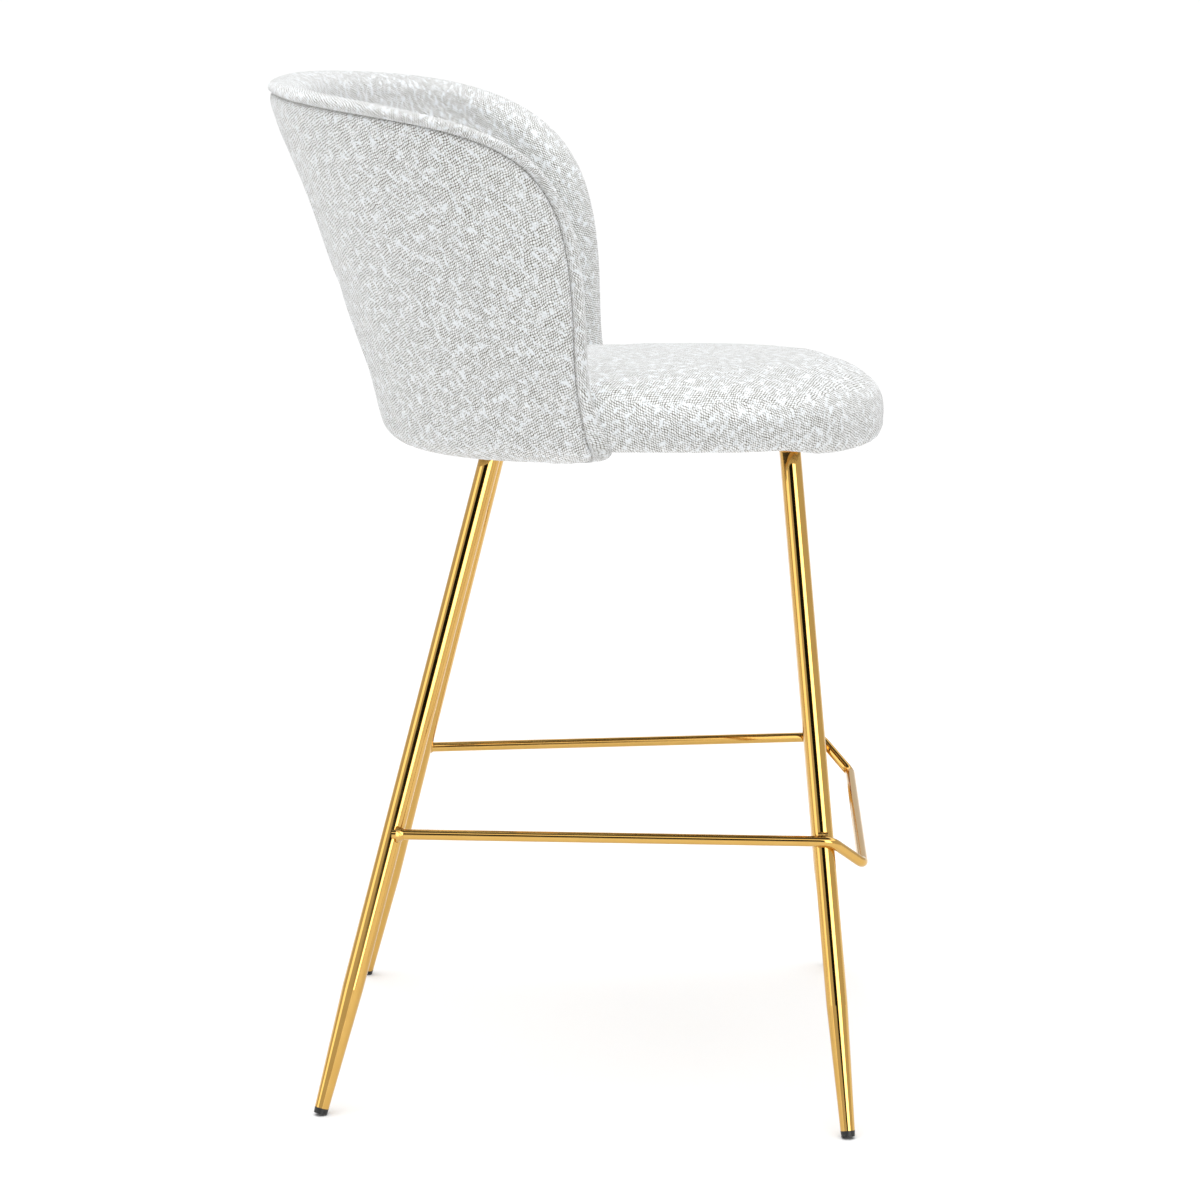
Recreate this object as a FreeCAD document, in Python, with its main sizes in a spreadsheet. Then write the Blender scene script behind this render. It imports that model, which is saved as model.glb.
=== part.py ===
"""Bar stool with footrest: four welded tube legs, a bent rod footrest, a round-fronted padded seat
and a padded tub back. Millimetres, +Z up, the front of the stool faces -Y, and the origin is on the
floor under the middle of the stool.
"""
import FreeCAD
import Part
import Sketcher
import math
import os
from FreeCAD import Placement, Rotation, Vector

DRIVING_SIZES = {
    # legs and foot caps
    "tube_dia": 19.0,
    "tube_wall": 1.5,
    "foot_dia": 12.8,
    "taper_length": 117.0,
    "cap_bottom": 1.5,
    "cap_top": 6.8,
    "cap_stem": 14.0,
    "front_foot_x": 260.9,
    "front_foot_y": -247.7,
    "rear_foot_x": 214.5,
    "rear_foot_y": 224.4,
    "leg_top_x": 83.0,
    "front_leg_top_y": -193.5,
    "rear_leg_top_y": 73.8,
    "leg_top_height": 587.5,
    # footrest
    "rod_dia": 9.5,
    "rod_rear_height": 248.0,
    "rod_front_height": 253.6,
    "rod_rear_offset": 7.0,
    "rod_past_leg": 7.0,
    "rod_corner_x": 168.2,
    "rod_corner_y": -260.8,
    "rod_corner_drop": 28.0,
    "rod_bend_radius": 15.0,
    "weld_size": 3.0,
    # steel bars under the seat
    "plate_length": 196.0,
    "plate_width": 40.0,
    "plate_thickness": 4.0,
    "rail_width": 25.0,
    "rail_x": 45.0,
    "bolt_inner_x": 24.0,
    "bolt_outer_x": 62.0,
    "bolt_dia": 5.9,
    "bolt_hole": 6.5,
    # seat
    "board_radius": 146.0,
    "board_front_centre": -118.8,
    "board_rear_centre": 20.0,
    "board_bottom": 594.0,
    "board_thickness": 15.0,
    "tee_bore": 8.0,
    "tee_flange_dia": 19.0,
    "tee_flange": 1.2,
    "seat_radius": 162.0,
    "seat_bottom": 592.0,
    "seat_top": 661.5,
    "seat_nose_radius": 47.0,
    "seat_under_radius": 16.0,
    "cover_thickness": 1.6,
    "cover_turn_under": 30.0,
    "dust_cloth": 0.5,
    "dust_inset": 14.0,
    # tub back
    "wadding": 5.4,
    "shell_thickness": 9.0,
    "back_foam_thickness": 15.0,
    "rim_roll_height": 10.0,
    "rim_roll_stand": 2.2,
    "back_bottom": 582.8,
    "back_shell_bottom": 595.0,
    "back_foam_bottom": 611.0,
    "back_screw_dia": 4.0,
    "back_screw_length": 36.0,
}

SIDES = {"right": -1, "left": 1}

doc = FreeCAD.newDocument("bar_stool")
sheet = doc.addObject("Spreadsheet::Sheet", "Sizes")
for row, (alias, number) in enumerate(DRIVING_SIZES.items(), start=1):
    sheet.set("A%d" % row, alias)
    sheet.set("B%d" % row, str(number))
    sheet.setAlias("B%d" % row, alias)
doc.recompute()

NODES = {}


def size(alias):
    """The value of a driving dimension, read from the sheet."""
    return float(getattr(sheet, alias))


def keep(node, thing):
    """Name a finished sub-part."""
    thing.Label = node
    NODES[node] = thing
    return thing


def origin_plane(body, role):
    """One of a body's own origin planes."""
    for feature in body.Origin.OriginFeatures:
        if feature.Role == role:
            return feature
    raise ValueError(role)


def new_sketch(body, name, role="XY_Plane", lift=None):
    """A sketch on one of the body's origin planes, lifted off it by an expression."""
    sketch = body.newObject("Sketcher::SketchObject", name)
    sketch.AttachmentSupport = [(origin_plane(body, role), "")]
    sketch.MapMode = "FlatFace"
    if lift:
        sketch.setExpression("AttachmentOffset.Base.z", lift)
    return sketch


def bind(sketch, expression, *constraint):
    """Add a dimension to a sketch and bind it to the sheet."""
    index = sketch.addConstraint(Sketcher.Constraint(*constraint))
    sketch.setExpression("Constraints[%d]" % index, expression)


def polygon(sketch, corners):
    """A closed polygon whose corners are pairs of expressions for x and y."""
    count = len(corners)
    turn = [Vector(math.cos(2 * math.pi * i / count), math.sin(2 * math.pi * i / count), 0) * 10
            for i in range(count)]
    for i in range(count):
        sketch.addGeometry(Part.LineSegment(turn[i], turn[(i + 1) % count]), False)
    for i in range(count):
        sketch.addConstraint(Sketcher.Constraint("Coincident", i, 2, (i + 1) % count, 1))
    for i, (across, up) in enumerate(corners):
        bind(sketch, across, "DistanceX", -1, 1, i, 1, turn[i].x)
        bind(sketch, up, "DistanceY", -1, 1, i, 1, turn[i].y)


def stadium(sketch, radius, front_centre, rear_centre):
    """Two half circles joined by straight sides: the outline of the seat."""
    sketch.addGeometry(Part.LineSegment(Vector(100, -90, 0), Vector(100, 20, 0)), False)
    rear = Part.Circle(Vector(0, 20, 0), Vector(0, 0, 1), 100)
    sketch.addGeometry(Part.ArcOfCircle(rear, 0, math.pi), False)
    sketch.addGeometry(Part.LineSegment(Vector(-100, 20, 0), Vector(-100, -90, 0)), False)
    front = Part.Circle(Vector(0, -90, 0), Vector(0, 0, 1), 100)
    sketch.addGeometry(Part.ArcOfCircle(front, math.pi, 2 * math.pi), False)
    for i in range(4):
        sketch.addConstraint(Sketcher.Constraint("Tangent", i, 2, (i + 1) % 4, 1))
    sketch.addConstraint(Sketcher.Constraint("Equal", 1, 3))
    sketch.addConstraint(Sketcher.Constraint("PointOnObject", 1, 3, -2))
    sketch.addConstraint(Sketcher.Constraint("PointOnObject", 3, 3, -2))
    bind(sketch, radius, "Radius", 1, 100.0)
    bind(sketch, rear_centre, "DistanceY", -1, 1, 1, 3, 20.0)
    bind(sketch, front_centre, "DistanceY", -1, 1, 3, 3, -90.0)


def rectangle(sketch, half_width, half_depth):
    """A centred rectangle from two expressions."""
    polygon(sketch, [(half_width, half_depth), ("-(%s)" % half_width, half_depth),
                     ("-(%s)" % half_width, "-(%s)" % half_depth), (half_width, "-(%s)" % half_depth)])


def pad(body, sketch, length):
    """Raise a sketch by an expression's length."""
    feature = body.newObject("PartDesign::Pad", "Pad")
    feature.Profile = sketch
    feature.setExpression("Length", length)
    sketch.Visibility = False
    return feature


def drill(body, name, lift, dia, places, depth=None):
    """Pocket round holes downwards from a plane, through all unless a depth is given."""
    sketch = new_sketch(body, name, "XY_Plane", lift)
    for i, (across, along) in enumerate(places):
        sketch.addGeometry(Part.Circle(Vector(10 + 20 * i, 10, 0), Vector(0, 0, 1), 2), False)
        bind(sketch, dia + " / 2", "Radius", i, 2.0)
        bind(sketch, across, "DistanceX", -1, 1, i, 3, 10.0 + 20 * i)
        bind(sketch, along, "DistanceY", -1, 1, i, 3, 10.0)
    pocket = body.newObject("PartDesign::Pocket", "Pocket")
    pocket.Profile = sketch
    if depth:
        pocket.setExpression("Length", depth)
    else:
        pocket.Type = "ThroughAll"
    return pocket


def revolve(body, sketch):
    """Turn a sketch on the XZ plane once round the body's own Z axis."""
    feature = body.newObject("PartDesign::Revolution", "Revolution")
    feature.Profile = sketch
    feature.ReferenceAxis = (sketch, ["V_Axis"])
    feature.Angle = 360.0
    return feature


def round_edges(body, feature, radius, height):
    """Fillet every edge of the last feature that lies flat at one height."""
    names = []
    for i, edge in enumerate(feature.Shape.Edges, start=1):
        box = edge.BoundBox
        if abs(box.ZMin - height) < 0.01 and abs(box.ZMax - height) < 0.01:
            names.append("Edge%d" % i)
    fillet = body.newObject("PartDesign::Fillet", "Fillet")
    fillet.Base = (feature, names)
    fillet.setExpression("Radius", radius)
    doc.recompute()
    return fillet


def cut(node, base, tool):
    """One object with another taken away."""
    result = doc.addObject("Part::Cut", node)
    result.Base = base
    result.Tool = tool
    return result


def plain(name, shape):
    """A sub-part whose shape is worked out in code."""
    thing = doc.addObject("Part::Feature", name)
    thing.Shape = shape
    return thing


# ---------------------------------------------------------------- legs and foot caps

def leg_ends(end, side):
    """The points where a leg's axis meets the floor and the steel bar above it."""
    foot = Vector(side * size(end + "_foot_x"), size(end + "_foot_y"), 0)
    top = Vector(side * size("leg_top_x"), size(end + "_leg_top_y"), size("leg_top_height"))
    return foot, top


def leg_placement(end, side):
    """Stand a piece that was turned about Z on a leg's axis."""
    foot, top = leg_ends(end, side)
    return Placement(foot, Rotation(Vector(0, 0, 1), top - foot))


def on_leg(end, side, height):
    """The point of a leg's axis at a height."""
    foot, top = leg_ends(end, side)
    return foot + (top - foot) * (height / top.z)


def floor_slab(name, low, high):
    """A wide block between two heights, for cutting tilted tubes off level."""
    slab = doc.addObject("Part::Box", name)
    slab.Length = slab.Width = 900
    slab.Height = high - low
    slab.Placement.Base = Vector(-450, -450, low)
    return slab


for end in ("front", "rear"):
    for side_name, side in SIDES.items():
        tag = "%s_%s" % (end, side_name)

        # The tube tapers at its foot, and its wall keeps its thickness.
        tube = doc.addObject("PartDesign::Body", "tube_" + tag)
        outline = new_sketch(tube, "tube_outline_" + tag, "XZ_Plane")
        polygon(outline, [
            ("Sizes.foot_dia / 2", "Sizes.cap_top"),
            ("Sizes.tube_dia / 2", "Sizes.taper_length"),
            ("Sizes.tube_dia / 2", "Sizes.leg_top_height * 1.1"),
            ("Sizes.tube_dia / 2 - Sizes.tube_wall", "Sizes.leg_top_height * 1.1"),
            ("Sizes.tube_dia / 2 - Sizes.tube_wall", "Sizes.taper_length"),
            ("Sizes.foot_dia / 2 - Sizes.tube_wall", "Sizes.cap_top"),
        ])
        revolve(tube, outline)
        tube.Placement = leg_placement(end, side)
        above = floor_slab("above_" + tag, size("leg_top_height"), size("leg_top_height") + 120)
        keep("leg_" + tag, cut("leg_" + tag, tube, above))

        # The cap's head is square to the tube, its stem is pushed up inside, and its low edge is
        # worn flat where it stands on the floor.
        plug = doc.addObject("PartDesign::Body", "plug_" + tag)
        outline = new_sketch(plug, "plug_outline_" + tag, "XZ_Plane")
        polygon(outline, [
            ("0", "Sizes.cap_bottom"),
            ("Sizes.foot_dia / 2 - 0.4", "Sizes.cap_bottom"),
            ("Sizes.foot_dia / 2", "Sizes.cap_top"),
            ("Sizes.foot_dia / 2 - Sizes.tube_wall", "Sizes.cap_top"),
            ("Sizes.foot_dia / 2 - Sizes.tube_wall", "Sizes.cap_top + Sizes.cap_stem"),
            ("0", "Sizes.cap_top + Sizes.cap_stem"),
        ])
        revolve(plug, outline)
        plug.Placement = leg_placement(end, side)
        below = floor_slab("below_" + tag, -30, 0)
        keep("foot_cap_" + tag, cut("foot_cap_" + tag, plug, below))

# ---------------------------------------------------------------- footrest


def rod_route():
    """The middle line of the bent rod, from the right rear leg to the left rear leg."""
    half_turn = []
    for side in (-1, 1):
        rear_axis = on_leg("rear", side, size("rod_rear_height"))
        front_axis = on_leg("front", side, size("rod_front_height"))
        lean = math.hypot(1, (size("front_foot_x") - size("leg_top_x")) / size("leg_top_height"))
        touch = (size("tube_dia") + size("rod_dia")) / 2 * lean
        rear = rear_axis + Vector(side * size("rod_rear_offset"), 0, 0)
        passing = front_axis + Vector(side * touch, 0, 0)
        ahead = (passing - rear).normalize() * size("rod_past_leg")
        bend = passing + ahead
        corner = Vector(side * size("rod_corner_x"), size("rod_corner_y"),
                        size("rod_front_height") - size("rod_corner_drop"))
        half_turn.append([rear, bend, corner])
    return half_turn[0] + half_turn[1][::-1]


def bent_wire(points, radius):
    """Straight runs joined by tangent arcs."""
    edges = []
    start = points[0]
    for before, corner, after in zip(points, points[1:], points[2:]):
        inward = (before - corner).normalize()
        outward = (after - corner).normalize()
        half_angle = inward.getAngle(outward) / 2
        run = radius / math.tan(half_angle)
        bisector = (inward + outward).normalize()
        first = corner + inward * run
        last = corner + outward * run
        middle = corner + bisector * (radius / math.sin(half_angle) - radius)
        edges.append(Part.LineSegment(start, first).toShape())
        edges.append(Part.Arc(first, middle, last).toShape())
        start = last
    edges.append(Part.LineSegment(start, points[-1]).toShape())
    return Part.Wire(edges)


route = rod_route()
spine = bent_wire(route, size("rod_bend_radius"))
section = Part.Wire(Part.makeCircle(size("rod_dia") / 2, route[0], route[1] - route[0]))
bar = spine.makePipeShell([section], True, False)


def solid_leg(end, side):
    """A leg with its bore filled, for shaping what is welded to it."""
    foot, top = leg_ends(end, side)
    return Part.makeCylinder(size("tube_dia") / 2, (top - foot).Length, foot, top - foot)


for side in SIDES.values():
    bar = bar.cut(solid_leg("rear", side))
bar = max(bar.Solids, key=lambda solid: solid.Volume)
keep("footrest_rod", plain("footrest_rod", bar))


def weld_collar(centre, direction, bore_radius, bead):
    """A cone of weld round a bar where it runs into another piece."""
    return Part.makeCone(bore_radius + bead, bore_radius + 0.3, bead * 2, centre, direction)


BEAD_LENGTH = 9.0
COLLAR_REACH = 4.5
beads = []
for side in SIDES.values():
    rear, bend = (route[0], route[1]) if side < 0 else (route[-1], route[-2])
    along = (bend - rear).normalize()
    collar = weld_collar(rear + along * COLLAR_REACH, along, size("rod_dia") / 2, size("weld_size"))
    collar = collar.cut(solid_leg("rear", side)).cut(bar)
    beads.append(max(collar.Solids, key=lambda solid: solid.Volume))
    # Two short beads lie in the grooves over and under the rod where it passes the front leg.
    axis_point = on_leg("front", side, size("rod_front_height"))
    rod_point = bend - along * size("rod_past_leg")
    between = axis_point + (rod_point - axis_point) * 0.66
    for lift in (-1, 1):
        place = between + Vector(0, 0, lift * size("rod_dia") * 0.42)
        start = place - along * BEAD_LENGTH / 2
        bead = Part.makeCylinder(size("weld_size"), BEAD_LENGTH, start, along)
        bead = bead.cut(bar).cut(solid_leg("front", side))
        beads.append(max(bead.Solids, key=lambda solid: solid.Volume))
keep("footrest_welds", plain("footrest_welds", Part.makeCompound(beads)))

# ---------------------------------------------------------------- steel bars under the seat

BOLT_PLACES = [("Sizes.bolt_inner_x", "0"), ("-Sizes.bolt_inner_x", "0"),
               ("Sizes.bolt_outer_x", "0"), ("-Sizes.bolt_outer_x", "0")]

for end in ("front", "rear"):
    plate = doc.addObject("PartDesign::Body", "mount_plate_" + end)
    outline = new_sketch(plate, "plate_outline_" + end)
    rectangle(outline, "Sizes.plate_length / 2", "Sizes.plate_width / 2")
    pad(plate, outline, "Sizes.plate_thickness")
    drill(plate, "plate_holes_" + end, "Sizes.plate_thickness", "Sizes.bolt_hole", BOLT_PLACES)
    plate.Placement.Base = Vector(0, size(end + "_leg_top_y"), size("leg_top_height"))
    keep("mount_plate_" + end, plate)

rail_length = "Sizes.rear_leg_top_y - Sizes.front_leg_top_y - Sizes.plate_width"
middle_y = (size("front_leg_top_y") + size("rear_leg_top_y")) / 2
for side_name, side in SIDES.items():
    rail = doc.addObject("PartDesign::Body", "frame_rail_" + side_name)
    outline = new_sketch(rail, "rail_outline_" + side_name)
    rectangle(outline, "Sizes.rail_width / 2", "(%s) / 2" % rail_length)
    pad(rail, outline, "Sizes.plate_thickness")
    rail.Placement.Base = Vector(side * size("rail_x"), middle_y, size("leg_top_height"))
    keep("frame_rail_" + side_name, rail)

RAIL_BEAD_RADIUS = 1.8
RAIL_BEAD_LENGTH = 21.0
leg_beads = []
rail_beads = []
tube_radius = size("tube_dia") / 2
bar_under = size("leg_top_height")
for end in ("front", "rear"):
    inward = 1 if end == "front" else -1
    joint_y = size(end + "_leg_top_y") + inward * size("plate_width") / 2
    for side in SIDES.values():
        # A fillet of weld goes round the top of the leg, under the bar.
        foot, top = leg_ends(end, side)
        bead = Part.makeCone(tube_radius + 0.5, tube_radius + size("weld_size") + 0.8,
                             size("weld_size"), top - Vector(0, 0, size("weld_size")))
        bead = bead.cut(Part.makeCylinder(tube_radius, 60, on_leg(end, side, 560), top - foot))
        leg_beads.append(max(bead.Solids, key=lambda solid: solid.Volume))
        # The rail's end is welded to the bar along its underside.
        start = Vector(side * size("rail_x") - RAIL_BEAD_LENGTH / 2, joint_y, bar_under)
        bead = Part.makeCylinder(RAIL_BEAD_RADIUS, RAIL_BEAD_LENGTH, start, Vector(1, 0, 0))
        below = Part.makeBox(400, 400, 10, Vector(-200, joint_y - 200, bar_under - 10))
        rail_beads.append(bead.common(below))
keep("leg_welds", plain("leg_welds", Part.makeCompound(leg_beads)))
keep("rail_welds", plain("rail_welds", Part.makeCompound(rail_beads)))

# ---------------------------------------------------------------- bolts, washers and T-nuts

board_top = size("board_bottom") + size("board_thickness")
bolt_spots = []
for end in ("front", "rear"):
    for place in ("inner", "outer"):
        for side in SIDES.values():
            across = side * size("bolt_%s_x" % place)
            bolt_spots.append(Vector(across, size(end + "_leg_top_y"), bar_under))

WASHER_THICKNESS = 1.0
WASHER_DIA = 12.0
HEAD_DIA = 10.5
HEAD_HEIGHT = 3.3
HEAD_ROUND = 1.6
KEY_SIZE = 4.0
KEY_DEPTH = 2.0
BORE_CLEARANCE = 0.05


def button_bolt(spot):
    """A button-head socket bolt, its head under the washer and its shank up into the T-nut."""
    seat = spot - Vector(0, 0, WASHER_THICKNESS)
    shank = Part.makeCylinder(size("bolt_dia") / 2, board_top - 1 - seat.z, seat)
    head = Part.makeCylinder(HEAD_DIA / 2, HEAD_HEIGHT, seat - Vector(0, 0, HEAD_HEIGHT))
    low_edges = [edge for edge in head.Edges
                 if abs(edge.BoundBox.ZMax - (seat.z - HEAD_HEIGHT)) < 0.01]
    head = head.makeFillet(HEAD_ROUND, low_edges)
    key_radius = KEY_SIZE / math.sqrt(3)
    corners = []
    for i in range(7):
        turn = math.radians(60 * i)
        corners.append(seat + Vector(key_radius * math.cos(turn), key_radius * math.sin(turn),
                                     -HEAD_HEIGHT))
    key = Part.Face(Part.makePolygon(corners)).extrude(Vector(0, 0, KEY_DEPTH))
    return head.fuse(shank).removeSplitter().cut(key)


def washer(spot):
    """A flat washer between the bolt's head and the steel bar."""
    low = spot - Vector(0, 0, WASHER_THICKNESS)
    disc = Part.makeCylinder(WASHER_DIA / 2, WASHER_THICKNESS, low)
    return disc.cut(Part.makeCylinder(size("bolt_hole") / 2, WASHER_THICKNESS, low))


def tee_nut(spot):
    """A T-nut let into the top of the board, its barrel down the bolt's hole."""
    top = Vector(spot.x, spot.y, board_top)
    barrel_length = size("board_thickness") * 0.6
    barrel_end = top - Vector(0, 0, barrel_length)
    barrel = Part.makeCylinder(size("tee_bore") / 2, barrel_length, barrel_end)
    flange = Part.makeCylinder(size("tee_flange_dia") / 2, size("tee_flange"),
                               top - Vector(0, 0, size("tee_flange")))
    bore = Part.makeCylinder(size("bolt_dia") / 2 + BORE_CLEARANCE, barrel_length, barrel_end)
    return barrel.fuse(flange).removeSplitter().cut(bore)


keep("plate_bolts", plain("plate_bolts", Part.makeCompound([button_bolt(spot) for spot in bolt_spots])))
keep("plate_washers", plain("plate_washers", Part.makeCompound([washer(spot) for spot in bolt_spots])))
keep("tee_nuts", plain("tee_nuts", Part.makeCompound([tee_nut(spot) for spot in bolt_spots])))

# ---------------------------------------------------------------- tub back
# The tub is a horseshoe in plan. It leans out as it rises, more at the rear than at its front edges.

FLOOR_GAP = 1.8


def tub_plan(height):
    """Half width, rear depth and middle of the tub's outside at a height, and its front half width."""
    rise = height - FLOOR_GAP - 600
    over = max(0.0, rise - 258)
    rear = 182.0 + 0.245 * rise + 0.00036 * rise ** 2 - 0.0065 * over ** 2
    half = 164 + 0.27 * rise - 0.0052 * over ** 2
    middle = 25 + 0.345 * rise
    front_half = 190 - 26 * (1 - rise / 290) ** 2
    return half, rear - middle, middle, front_half


def rim_side(angle, inset):
    """A point of the rim seen from the side: 0 is the top at the rear, 90 the front edge's foot."""
    turn = math.radians(angle)
    back = (294.5 - inset) * math.sin(turn) ** (2 / 4.2)
    y = 278.5 - back
    z = 600 + FLOOR_GAP + (312 - inset) * math.cos(turn) ** (2 / 5.3) - 0.101 * back
    return Vector(0, y - 14 * max(0.0, (683 - z) / 100) ** 2, z)


def front_line(height):
    """How far forward the tub's front edge stands at a height."""
    return -12 + 0.14 * (height - 683)


PLAN_FRONT = -62.0


def tub_side(height, inset):
    """One side of a level outline of the tub, from the rear middle to past its front edge."""
    half, depth, middle, front_half = tub_plan(height)
    reach = middle - front_line(height)

    def outside(step):
        if step <= 1:
            turn = step * math.pi / 2
            return Vector(half * math.sin(turn), middle + depth * math.cos(turn), 0)
        along = (step - 1) * (middle - PLAN_FRONT)
        pinch = (half - front_half) * (along / reach) ** 1.6
        return Vector(half - pinch, middle - along, 0)

    points = []
    steps = [i / 6 for i in range(7)] + [1 + i / 4 for i in range(1, 5)]
    for step in steps:
        ahead = outside(min(step + 0.01, 2.0))
        behind = outside(max(step - 0.01, 0.0)) if step > 0 else outside(0.01).scale(-1, 1, 1)
        run = (ahead - behind).normalize()
        outward = Vector(-run.y, run.x, 0)
        point = outside(step) - outward * inset
        points.append(Vector(point.x, point.y, height))
    return points


def level_spline(height, inset):
    """A smooth horseshoe curve at one height."""
    side = tub_side(height, inset)
    points = [Vector(-p.x, p.y, p.z) for p in side[:0:-1]] + side
    curve = Part.BSplineCurve()
    curve.interpolate(points)
    return curve


def level_section(height, near, far):
    """The closed horseshoe between two insets at one height."""
    outer = level_spline(height, near)
    inner = level_spline(height, far)
    closing = [Part.LineSegment(outer.EndPoint, inner.EndPoint).toShape(),
               Part.LineSegment(inner.StartPoint, outer.StartPoint).toShape()]
    return Part.Wire([outer.toShape(), closing[0], inner.toShape(), closing[1]])


def rim_prism(inset):
    """Everything behind and below the rim, as wide as the stool."""
    curve = Part.BSplineCurve()
    curve.interpolate([rim_side(angle, inset) for angle in (0, 12, 25, 38, 50, 60, 70, 80, 86, 90)])
    top = curve.StartPoint
    foot = curve.EndPoint
    corners = [foot, Vector(0, foot.y, 480), Vector(0, 330, 480), Vector(0, 330, top.z), top]
    wire = Part.Wire([curve.toShape()] + [Part.LineSegment(a, b).toShape()
                                          for a, b in zip(corners, corners[1:])])
    face = Part.Face(wire)
    prism = face.extrude(Vector(700, 0, 0))
    prism.translate(Vector(-350, 0, 0))
    return prism


def tub_layer(near, far, low, rim_inset):
    """One layer of the tub's wall between two insets, trimmed to the rim."""
    high = 925.0
    count = 9
    heights = [low + (high - low) * i / (count - 1) for i in range(count)]
    wall = Part.makeLoft([level_section(height, near, far) for height in heights], True, False)
    layer = wall.common(rim_prism(rim_inset))
    return max(layer.Solids, key=lambda solid: solid.Volume)


cover = size("cover_thickness")
roll = size("rim_roll_height")
shell_near = cover + size("wadding")
shell_far = shell_near + size("shell_thickness")
foam_far = shell_far + size("back_foam_thickness")
wall_far = foam_far + cover
low_outside = size("back_bottom")
low_inside = size("back_foam_bottom")
low_shell = size("back_shell_bottom")

outer_cover = tub_layer(0, cover, low_outside, roll)
wadding = tub_layer(cover, shell_near, low_shell, roll)
shell = tub_layer(shell_near, shell_far, low_shell, roll)
foam = tub_layer(shell_far, foam_far, low_inside, roll)
inner_cover = tub_layer(foam_far, wall_far, low_inside, roll)
whole_rim = tub_layer(-size("rim_roll_stand"), wall_far, low_outside, 0)
rim_roll = whole_rim.cut(rim_prism(roll))
rim_roll = max(rim_roll.Solids, key=lambda solid: solid.Volume)

# Screws go through the shell into the edge of the seat board, square to the shell in plan.
screw_height = size("board_bottom") + size("board_thickness") / 2
screws = []
middle = Vector(0, size("board_rear_centre"), screw_height)
head_reach = size("board_radius") + size("shell_thickness") - 1
tip_reach = head_reach - size("back_screw_length")
for turn in (-80, -50, -20, 20, 50, 80):
    outward = Vector(math.sin(math.radians(turn)), math.cos(math.radians(turn)), 0)
    shank = Part.makeCylinder(size("back_screw_dia") / 2, size("back_screw_length"),
                              middle + outward * tip_reach, outward)
    screws.append(shank)
    shell = shell.cut(shank)
keep("back_screws", plain("back_screws", Part.makeCompound(screws)))
keep("back_cover_outer", plain("back_cover_outer", outer_cover))
keep("back_wadding", plain("back_wadding", wadding))
keep("back_shell", plain("back_shell", shell))
keep("back_foam", plain("back_foam", foam))
keep("back_cover_inner", plain("back_cover_inner", inner_cover))
keep("back_rim_roll", plain("back_rim_roll", rim_roll))

# ---------------------------------------------------------------- seat

BOARD_BOLTS = [(across, "Sizes.%s_leg_top_y" % end)
               for end in ("front", "rear") for across, _ in BOLT_PLACES]

board = doc.addObject("PartDesign::Body", "board")
outline = new_sketch(board, "board_outline", "XY_Plane", "Sizes.board_bottom")
stadium(outline, "Sizes.board_radius", "Sizes.board_front_centre", "Sizes.board_rear_centre")
pad(board, outline, "Sizes.board_thickness")
drill(board, "bolt_holes", "Sizes.board_bottom + Sizes.board_thickness", "Sizes.tee_bore", BOARD_BOLTS)
drill(board, "flange_recesses", "Sizes.board_bottom + Sizes.board_thickness", "Sizes.tee_flange_dia",
      BOARD_BOLTS, "Sizes.tee_flange")
drilled = plain("screw_bores", Part.makeCompound(screws))
keep("seat_board", cut("seat_board", board, drilled))


def cushion(name, radius, low, high, nose_radius, under_radius):
    """A padded block with the seat's outline and rounded edges."""
    block = doc.addObject("PartDesign::Body", name)
    outline = new_sketch(block, name + "_outline", "XY_Plane", low)
    stadium(outline, radius, "Sizes.board_front_centre", "Sizes.board_rear_centre")
    raised = pad(block, outline, "%s - (%s)" % (high, low))
    doc.recompute()
    box = raised.Shape.BoundBox
    rounded = round_edges(block, raised, nose_radius, box.ZMax)
    round_edges(block, rounded, under_radius, box.ZMin)
    return block


def slice_block(name, radius, low, height):
    """A flat block with the seat's outline."""
    block = doc.addObject("PartDesign::Body", name)
    outline = new_sketch(block, name + "_outline", "XY_Plane", low)
    stadium(outline, radius, "Sizes.board_front_centre", "Sizes.board_rear_centre")
    pad(block, outline, height)
    return block


skin = "Sizes.cover_thickness"
tub_room = plain("tub_room", tub_layer(-size("rim_roll_stand") - 3, wall_far + 0.3,
                                       low_outside - 6, 0))

pad_block = cushion("pad_block", "Sizes.seat_radius - " + skin, "Sizes.seat_bottom + " + skin,
                    "Sizes.seat_top - " + skin, "Sizes.seat_nose_radius - " + skin,
                    "Sizes.seat_under_radius - " + skin)
board_room = slice_block("board_room", "Sizes.board_radius", "Sizes.seat_bottom",
                         "Sizes.board_bottom + Sizes.board_thickness - Sizes.seat_bottom")
foam_cut = cut("foam_less_board", pad_block, board_room)
keep("seat_foam", cut("seat_foam", foam_cut, tub_room))

skin_block = cushion("skin_block", "Sizes.seat_radius", "Sizes.seat_bottom", "Sizes.seat_top",
                     "Sizes.seat_nose_radius", "Sizes.seat_under_radius")
skin_shell = cut("skin_shell", skin_block, pad_block)
opening = slice_block("under_opening", "Sizes.board_radius - Sizes.cover_turn_under",
                      "Sizes.seat_bottom - 1", "5")
skin_open = cut("skin_open", skin_shell, opening)
skin_clear = cut("skin_clear", skin_open, board_room)
keep("seat_cover", cut("seat_cover", skin_clear, tub_room))

cloth = doc.addObject("PartDesign::Body", "dust_cover")
outline = new_sketch(cloth, "dust_outline", "XY_Plane", "Sizes.seat_bottom - Sizes.dust_cloth")
stadium(outline, "Sizes.board_radius - Sizes.dust_inset", "Sizes.board_front_centre",
        "Sizes.board_rear_centre - 12")
pad(cloth, outline, "Sizes.dust_cloth")
drill(cloth, "dust_holes", "Sizes.seat_bottom", "Sizes.bolt_hole", BOARD_BOLTS)
keep("dust_cover", cloth)

# ---------------------------------------------------------------- checks and files

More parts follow.
